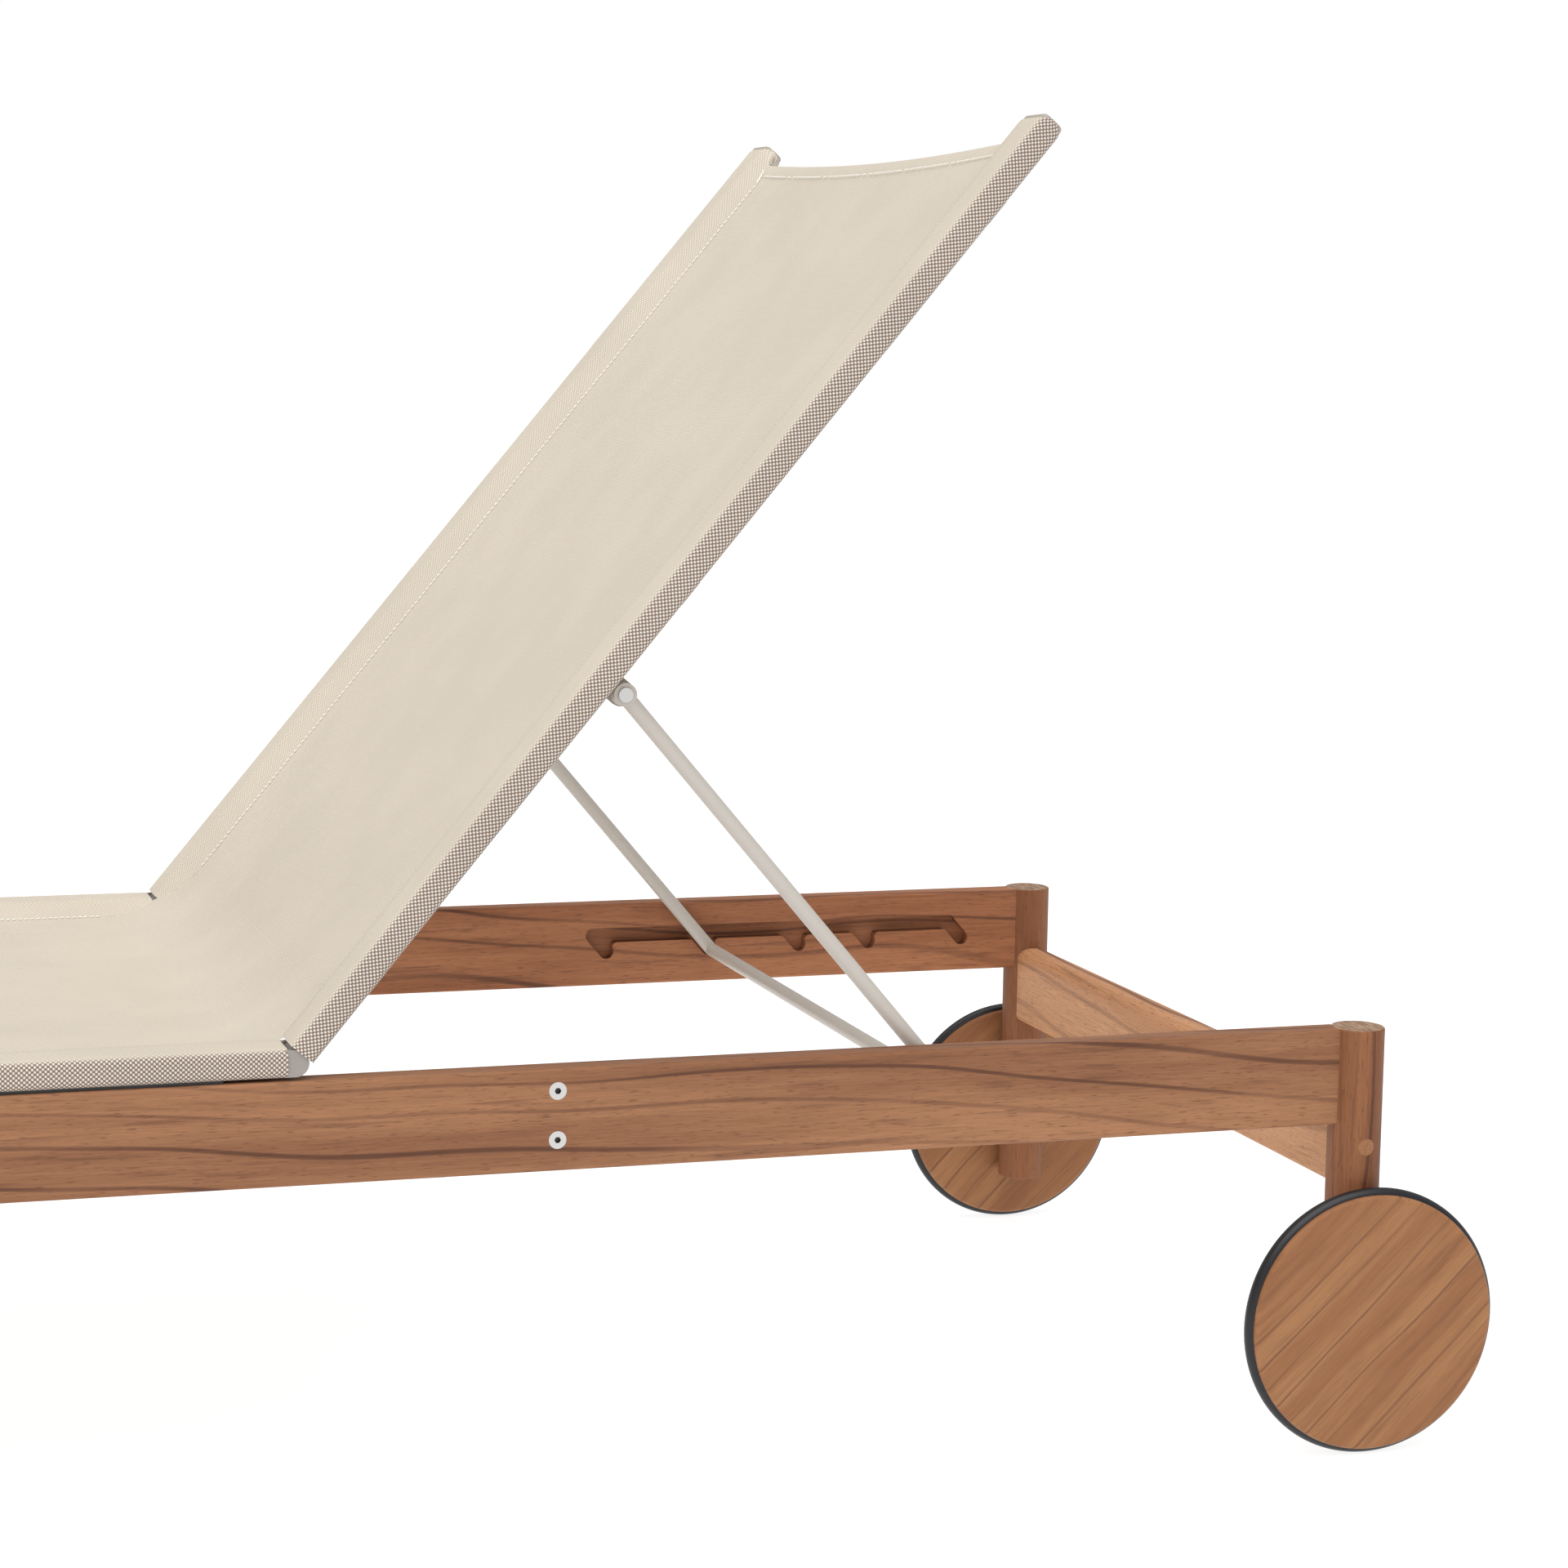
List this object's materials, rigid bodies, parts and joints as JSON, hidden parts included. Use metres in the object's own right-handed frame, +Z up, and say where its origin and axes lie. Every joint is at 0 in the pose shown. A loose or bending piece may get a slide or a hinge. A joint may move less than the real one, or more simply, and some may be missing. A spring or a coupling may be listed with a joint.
{
  "type": "reclining sun lounger",
  "caption": "Teak sun lounger on two legs and two wooden wheels, with a stretched sling seat and a hinged sling backrest held up by a prop in notched rails.",
  "frame": {"origin": "on the floor, in the middle of the overall length and width", "axes": "+X from the foot end to the head end, +Y to the right-hand side rail, +Z up"},
  "size_m": [2, 0.727, 0.9412],
  "materials": {
    "teak_rail": "oiled teak, straight grain",
    "teak_leg": "oiled teak, darker, end grain on top",
    "teak_wheel": "oiled teak, glued boards",
    "tyre_cord": "matt black",
    "nylon": "matt moulded",
    "steel": "satin stainless",
    "tube_coating": "powder-coated aluminium, warm grey",
    "cap_plastic": "matt moulded, warm grey",
    "hinge_alloy": "satin grey",
    "prop_coating": "powder-coated steel, off-white",
    "sling_cloth": "woven coated yarn, cream, brown flecks in the side hems"
  },
  "bodies": {
    "frame": {"head_stretcher": "teak_leg", "foot_stretcher": "teak_leg", "stretcher_bolts": "steel", "barrel_nuts": "steel", "leg_plugs": "teak_leg", "axle_washers": "steel", "axle_rings": "steel", "seat_spreaders": "tube_coating", "bracket_nuts": "steel", "bracket_screws": "steel", "hinge_pins": "steel", "sling_seat": "sling_cloth", "rail_right": "teak_rail", "rail_left": "teak_rail", "head_leg_right": "teak_leg", "head_leg_left": "teak_leg", "foot_leg_right": "teak_leg", "foot_leg_left": "teak_leg", "foot_glide_right": "nylon", "foot_glide_left": "nylon", "wheel_axle_right": "steel", "wheel_axle_left": "steel", "seat_tube_right": "tube_coating", "seat_tube_left": "tube_coating", "seat_end_cap_right": "cap_plastic", "seat_end_cap_left": "cap_plastic", "rail_pad_right": "nylon", "rail_pad_left": "nylon", "hinge_bracket_right": "steel", "hinge_bracket_left": "steel", "foot_bracket_right": "steel", "foot_bracket_left": "steel", "rail_bolts_right": "steel", "rail_bolts_left": "steel", "hinge_seat_plate_right": "hinge_alloy", "hinge_seat_plate_left": "hinge_alloy"},
    "backrest": {"back_spreader_lower": "tube_coating", "back_spreader_middle": "tube_coating", "back_spreader_upper": "tube_coating", "prop_pins": "steel", "sling_back": "sling_cloth", "hinge_back_plate_right": "hinge_alloy", "hinge_back_plate_left": "hinge_alloy", "back_tube_right": "tube_coating", "back_tube_left": "tube_coating", "back_end_cap_right": "cap_plastic", "back_end_cap_left": "cap_plastic", "prop_lug_right": "prop_coating", "prop_lug_left": "prop_coating"},
    "prop": {"prop_crossbar": "prop_coating", "prop_leg_right": "prop_coating", "prop_leg_left": "prop_coating"},
    "wheel_left": {"wheel_disc_left": "teak_wheel", "tyre_left": "tyre_cord", "wheel_bush_left": "nylon"},
    "wheel_right": {"wheel_disc_right": "teak_wheel", "tyre_right": "tyre_cord", "wheel_bush_right": "nylon"}
  },
  "joints": [
    {"name": "back_recline", "type": "hinge", "parent": "frame", "child": "backrest", "pos_m": [0.1345, 0, 0.3165], "axis": [0, -1, 0], "range_deg": [-50.3, 9.7]},
    {"name": "prop_swing", "type": "hinge", "parent": "backrest", "child": "prop", "pos_m": [0.36018, 0, 0.55154], "axis": [0, -1, 0], "range_deg": [-18.5, 95.5]},
    {"name": "wheel_left_spin", "type": "hinge", "parent": "frame", "child": "wheel_left", "pos_m": [0.903, -0.3535, 0.097], "axis": [0, 1, 0], "continuous": true},
    {"name": "wheel_right_spin", "type": "hinge", "parent": "frame", "child": "wheel_right", "pos_m": [0.903, 0.3535, 0.097], "axis": [0, 1, 0], "continuous": true}
  ],
  "couplings": [
    {"joint": "prop_swing", "follows": "back_recline", "ratio": -1.8965}
  ]
}
